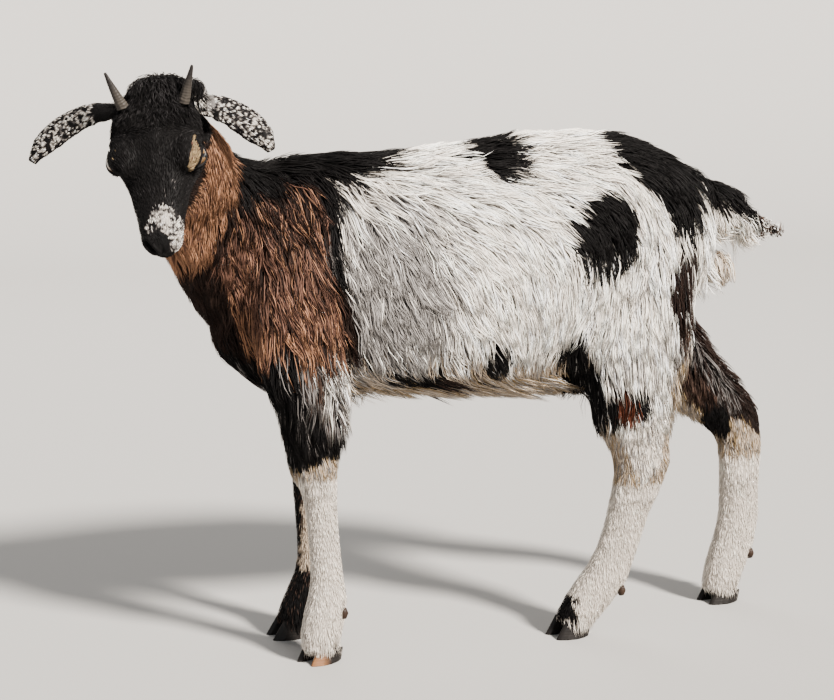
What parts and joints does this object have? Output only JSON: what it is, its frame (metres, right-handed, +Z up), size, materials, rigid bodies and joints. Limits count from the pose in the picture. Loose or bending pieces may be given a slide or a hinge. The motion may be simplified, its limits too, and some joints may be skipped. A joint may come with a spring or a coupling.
{
  "type": "goat",
  "caption": "Young pied goat standing on cloven hooves, head turned to its left, with drooping ears, small horns and a shaggy coat.",
  "frame": {"origin": "on the floor under the centre of the bounding box", "axes": "+Z up, head towards -X, the animal's left side towards -Y"},
  "size_m": [0.7856, 0.2766, 0.5917],
  "materials": {
    "coat_white": "long straight cream white hair with black patches",
    "coat_brown": "long red-brown hair with tan strands",
    "coat_black": "soft black hair, short on the face",
    "coat_mottled": "short hair mottled black and white with a black edge",
    "horn": "grey-brown ringed horn",
    "hoof": "dark horny hoof with growth rings",
    "eye": "wet amber-brown eye with a slot pupil"
  },
  "bodies": {
    "root": {"horn_left": "horn", "eye_left": "eye", "horn_right": "horn", "eye_right": "eye", "ear_left": "coat_mottled", "ear_right": "coat_mottled", "claw_fore_left_outer": "hoof", "dewclaw_fore_left_outer": "hoof", "claw_fore_left_inner": "hoof", "dewclaw_fore_left_inner": "hoof", "claw_fore_right_outer": "hoof", "dewclaw_fore_right_outer": "hoof", "claw_fore_right_inner": "hoof", "dewclaw_fore_right_inner": "hoof", "claw_hind_left_outer": "hoof", "dewclaw_hind_left_outer": "hoof", "claw_hind_left_inner": "hoof", "dewclaw_hind_left_inner": "hoof", "claw_hind_right_outer": "hoof", "dewclaw_hind_right_outer": "hoof", "claw_hind_right_inner": "hoof", "dewclaw_hind_right_inner": "hoof", "head": "coat_black", "neck": "coat_brown", "tail": "coat_black", "lower_fore_left": "coat_white", "upper_fore_left": "coat_black", "lower_fore_right": "coat_black", "upper_fore_right": "coat_black", "lower_hind_left": "coat_white", "upper_hind_left": "coat_white", "lower_hind_right": "coat_white", "upper_hind_right": "coat_white", "trunk": "coat_white"}
  },
  "joints": []
}
